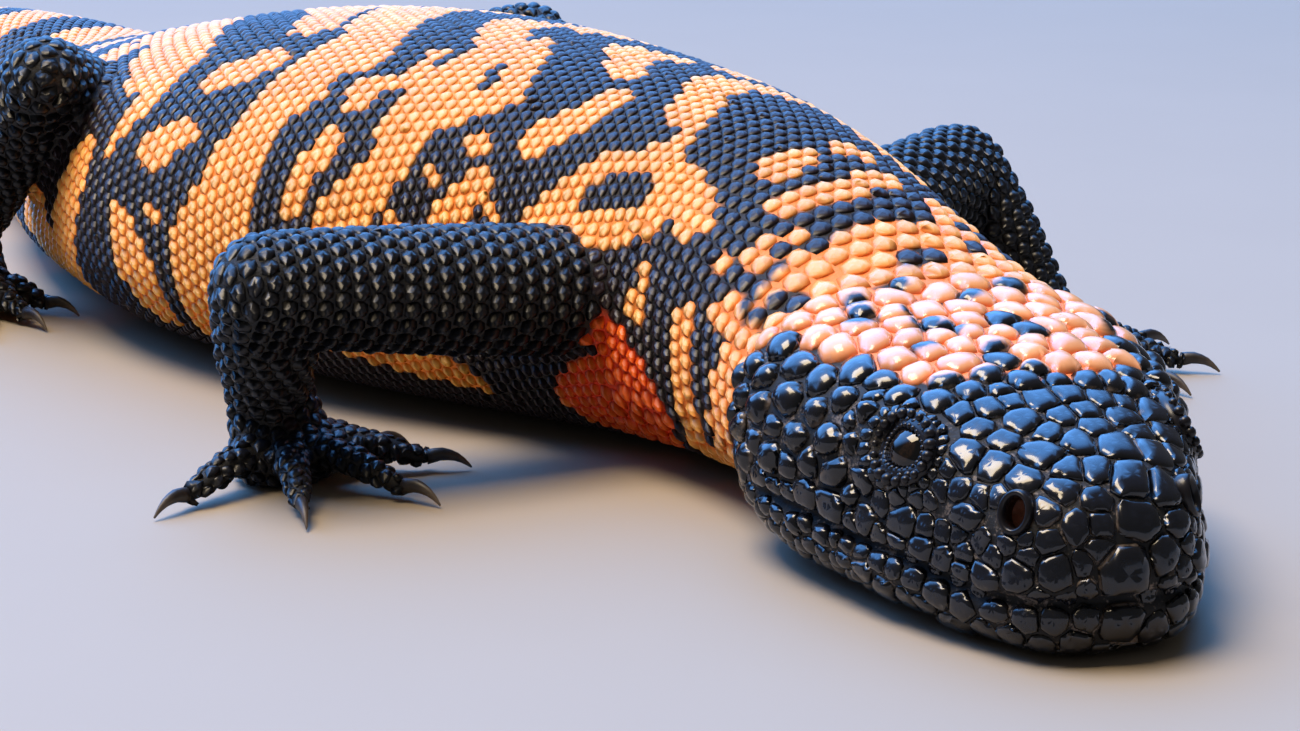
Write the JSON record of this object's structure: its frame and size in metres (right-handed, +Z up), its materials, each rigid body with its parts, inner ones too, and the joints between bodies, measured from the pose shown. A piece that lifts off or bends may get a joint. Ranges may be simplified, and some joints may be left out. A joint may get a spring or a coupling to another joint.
{
  "type": "gila monster",
  "caption": "Life-size gila monster lying on its belly with bent legs, head turned right: beaded orange and black body, plated black face, thick blunt tail.",
  "frame": {"origin": "on the floor under the middle of the belly", "axes": "+X forward along the trunk, +Y the animal's left, +Z up; the head turns towards -Y and the tail bends towards +Y"},
  "size_m": [0.3937, 0.1597, 0.0485],
  "materials": {
    "beaded_skin": "satin orange beads with black bars",
    "dark_skin": "glossy black plates and beads",
    "eye_black": "wet black gloss"
  },
  "bodies": {
    "root": {"tail_tip": "beaded_skin", "tail_middle": "beaded_skin", "tail_base": "beaded_skin", "pelvis": "beaded_skin", "midbody": "beaded_skin", "chest": "beaded_skin", "neck": "beaded_skin", "head": "dark_skin", "lower_jaw": "dark_skin", "right_upper_arm": "dark_skin", "right_forearm": "dark_skin", "right_hand": "dark_skin", "left_upper_arm": "dark_skin", "left_forearm": "dark_skin", "left_hand": "dark_skin", "right_thigh": "dark_skin", "right_shank": "dark_skin", "right_foot": "dark_skin", "left_thigh": "dark_skin", "left_shank": "dark_skin", "left_foot": "dark_skin", "eye_right": "eye_black", "eye_left": "eye_black"}
  },
  "joints": []
}
